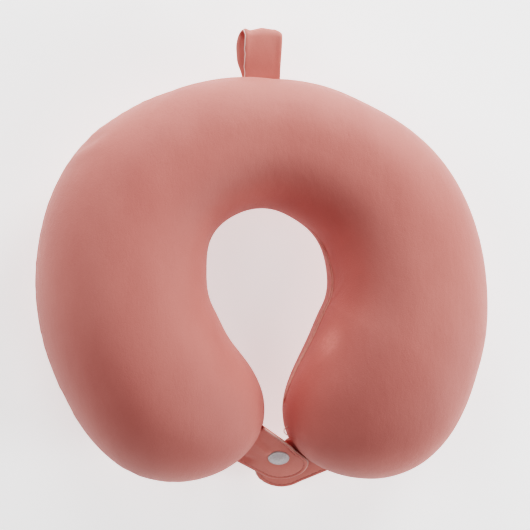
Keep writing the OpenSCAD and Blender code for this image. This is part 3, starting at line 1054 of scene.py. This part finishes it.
def strap_point(step, x, lift):
    """A point of the strap: across it by x, and off its middle by lift. The lower half is
    shifted aside, the folded end is uneven, and the cloth curls and wrinkles."""
    (y, z), (ny, nz), s = step
    half_w = LOOP_W / 2
    shift = -4.2 * float(ease((s - 0.42) / 0.3)) * (1 - 0.8 * float(ease((s - 0.8) / 0.2)))
    right = float(ease((x + 2) / 8))
    flare = 1 + 0.05 * math.sin(math.pi * s) - 0.03 * right * math.cos(math.pi * s)
    tip = math.exp(-((s - 0.5) / 0.13) ** 2)
    uneven = 0.45 * math.sin(x * 0.5 + 2.3) + 0.3 * math.sin(x * 1.1) - 1.1 * abs(x / half_w) ** 4
    uneven = tip * (uneven - 1.6 * float(ease((x - 7.5) / 4.5)))
    curl = 0.45 * (x / half_w) ** 2 * math.sin(math.pi * s * 2)
    fold = 0.35 * math.sin(x * 0.55 + 1.0 + 2 * s) * math.sin(math.pi * s) ** 2
    h = lift + curl + fold
    return (LOOP_X + x * flare + shift, LOOP_Y + y + ny * h + uneven, LOOP_Z + z + nz * h)


def strap_rim():
    """Rounded outline of the strap's section, with plump folded edges."""
    points = []
    half_w = LOOP_W / 2
    for a in np.linspace(0, 2 * math.pi, 48, endpoint=False):
        x = half_w * float(spow(math.cos(a), 0.28))
        t = STRAP_HALF * float(spow(math.sin(a), 0.55))
        fold = 1 + 0.22 * math.exp(-((abs(x) - half_w + 1.4) / 1.1) ** 2)
        fold -= 0.16 * math.exp(-((abs(x) - half_w + 3.4) / 0.6) ** 2)
        points.append((x, t * fold))
    return points


def make_loop():
    """The strap, and the pale cut edge along its upper half, partly a painted highlight."""
    ring = strap_rim()
    steps = strap_frame()
    points = [strap_point(step, x, t) for step in steps for x, t in ring]
    strap = swept("hanging_loop_strap", points, len(ring), LOOP_CLOTH)
    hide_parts("hanging_loop")
    around = np.linspace(0, 2 * math.pi, 10, endpoint=False)
    points = []
    for step in steps:
        # Only the upper half gets the pale edge: partly painted highlight where that edge catches the
        # light
        if step[2] < 0.47:
            wave = 0.18 * math.sin(step[2] * 38) + 0.1 * math.sin(step[2] * 83 + 1)
            for a in around:
                x = -LOOP_W / 2 - 0.05 + 0.3 * math.cos(a) + wave
                points.append(strap_point(step, x, STRAP_HALF * 0.8 + 0.3 * math.sin(a)))
    edge = swept("hanging_loop_cut_edge", points, len(around), BACKING_AND_HIGHLIGHT_CLOTH)
    for obj in (strap, edge):
        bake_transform(obj)


make_loop()


# ---- Zipper ----

def arc_point(angle, r, z):
    """A point at an angle and a radius round the zipper's centre, z above the seam."""
    a, r, z = np.broadcast_arrays(np.radians(angle), r, z)
    return np.stack([ZIP_CENTRE[0] + r * np.cos(a), ZIP_CENTRE[1] + r * np.sin(a), SEAM_Z + z], -1)


# A coil's pitch, the radius of its wire, the height of its middle off the seam, and half its
# own height and depth
COIL_PITCH = 1.35
COIL_WIRE = 0.34
COIL_RISE = 1.35
COIL_HALF_HEIGHT = 0.95
COIL_HALF_DEPTH = 0.55


def make_coil(name, side):
    """A nylon coil: a flattened helix of one thread, whose heads reach the middle."""
    pitch = math.degrees(COIL_PITCH / ZIP_R)
    turns = int((ZIP_TO - ZIP_FROM) / pitch)
    per_turn = 12
    t = np.arange(turns * per_turn + 1) / per_turn
    phase = 2 * math.pi * t
    angle = ZIP_FROM + t * pitch + (pitch / 2 if side < 0 else 0)
    z = side * (COIL_RISE + COIL_HALF_HEIGHT * np.cos(phase))
    r = ZIP_R - ZIP_DEPTH + COIL_HALF_DEPTH * np.sin(phase)
    line = arc_point(np.minimum(angle, ZIP_TO), r, z)
    ahead = unit(np.gradient(line, axis=0))
    a = np.radians(angle)
    outward = np.stack([np.cos(a), np.sin(a), np.zeros_like(a)], -1)
    across = unit(np.cross(ahead, outward))
    return cord(name, line, across, np.cross(across, ahead), COIL_WIRE, 6, COIL)


for side, word in ((1, "upper"), (-1, "lower")):
    coil = make_coil(f"zipper_coil_{word}_turns", side)
    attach(coil, "pillow")
    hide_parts(f"zipper_coil_{word}")
    angles = np.linspace(ZIP_FROM - 1, ZIP_TO + 1, 160)
    places = arc_point(angles, ZIP_R - ZIP_DEPTH + 0.3, side * 3.0)
    ups = arc_point(angles, 1.0, 0.0) - arc_point(angles, 0.0, 0.0)
    sewn = stitches(f"zipper_tape_{word}_stitching", places, ups, 1.9, 0.6, 0.14)
    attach(sewn, "pillow")


# ---- CAD nodes that keep their CAD shapes ----

NODE_LOOKS = {
    "foam_core": FOAM,
    "liner_top_panel": LINER_CLOTH, "liner_bottom_panel": LINER_CLOTH,
    "zipper_tape_upper": TAPE_CLOTH, "zipper_tape_lower": TAPE_CLOTH,
    "zipper_top_stops": ZINC, "zipper_bottom_stop": ZINC, "zipper_slider": ZINC, "zipper_pull": ZINC,
    "snap_socket": SNAP_PLASTIC,
    "snap_stud_cap": SNAP_PLASTIC, "snap_stud": SNAP_PLASTIC,
}
for node, look in NODE_LOOKS.items():
    obj = frame["nodes"][node]
    obj.data.materials.clear()
    obj.data.materials.append(look)


# ---- Floor, light and camera ----

# In metres: what the lights look at, half the floor's width and how far it lies below
MIDDLE = (0, 0, 0.04)
FLOOR_HALF = 20
FLOOR_DROP = 0.0004
FLOOR_GLOW = 0.55
WORLD_LIGHT = 0.04

# Windows behind the pillow and to its right, and weak bounce light from the other walls:
# heading round the pillow and height in degrees, and power in watts
LIGHTS = (("back_window", 105, 25, 6.2), ("corner_window", 60, 25, 9.6),
          ("right_window", 340, 25, 8.0), ("left_bounce", 150, 25, 2.1),
          ("left_ceiling", 180, 55, 2.8), ("front_ceiling", 300, 55, 2.0))
LIGHT_DISTANCE = 1.4
LIGHT_SIZE = 0.6

# Camera: degrees to the left of straight down, metres from its target, and focal length
CAMERA_TILT = 12
CAMERA_DISTANCE = 1.1
CAMERA_TARGET = (-0.0026, 0.0038, 0.05)
CAMERA_LENS = 114


def make_floor():
    corners = np.array([(-1, -1, 0), (1, -1, 0), (1, 1, 0), (-1, 1, 0)]) * FLOOR_HALF / MM
    floor = new_object("floor", corners, [(0, 1, 2, 3)], smooth_faces=False)
    floor.location.z = -FLOOR_DROP
    mat, nodes, links, bsdf, coords = new_material("pale_floor")
    pale = ramp(nodes, links, noise(nodes, links, coords, 3, 2),
                ((0.3, (0.93, 0.93, 0.93)), (0.7, (0.95, 0.95, 0.95))))
    links.new(pale, bsdf.inputs["Base Color"])
    links.new(pale, bsdf.inputs["Emission Color"])
    bsdf.inputs["Emission Strength"].default_value = FLOOR_GLOW
    bsdf.inputs["Roughness"].default_value = 0.9
    floor.data.materials.append(mat)


def make_light(name, turn, height, power):
    """A soft white light that looks at the pillow from a heading and a height, in degrees."""
    a, h = math.radians(turn), math.radians(height)
    away = Vector((math.cos(a) * math.cos(h), math.sin(a) * math.cos(h), math.sin(h)))
    data = bpy.data.lights.new(name, "AREA")
    data.shape = "DISK"
    data.size = LIGHT_SIZE
    data.energy = power
    light = bpy.data.objects.new(name, data)
    light.location = Vector(MIDDLE) + away * LIGHT_DISTANCE
    light.rotation_euler = (-away).to_track_quat("-Z", "Y").to_euler()
    bpy.context.collection.objects.link(light)


def make_camera():
    tilt = math.radians(CAMERA_TILT)
    back = Vector((-math.sin(tilt), 0, math.cos(tilt)))
    up = Vector((0, 1, 0))
    right = up.cross(back)
    data = bpy.data.cameras.new("camera")
    data.sensor_width = 36
    data.lens = CAMERA_LENS
    data.clip_end = 50
    camera = bpy.data.objects.new("camera", data)
    turn = Matrix((right, up, back)).transposed().to_4x4()
    place = Vector(CAMERA_TARGET) + back * CAMERA_DISTANCE
    camera.matrix_world = Matrix.Translation(place) @ turn
    bpy.context.collection.objects.link(camera)
    bpy.context.scene.camera = camera


def make_world():
    world = bpy.data.worlds.new("soft_studio")
    world.use_nodes = True
    background = world.node_tree.nodes["Background"]
    background.inputs["Color"].default_value = (1, 1, 1, 1)
    background.inputs["Strength"].default_value = WORLD_LIGHT
    bpy.context.scene.world = world


make_floor()
make_world()
for light in LIGHTS:
    make_light(*light)
make_camera()
bpy.context.scene.view_settings.view_transform = "Filmic"
bpy.context.scene.view_settings.look = "Very High Contrast"
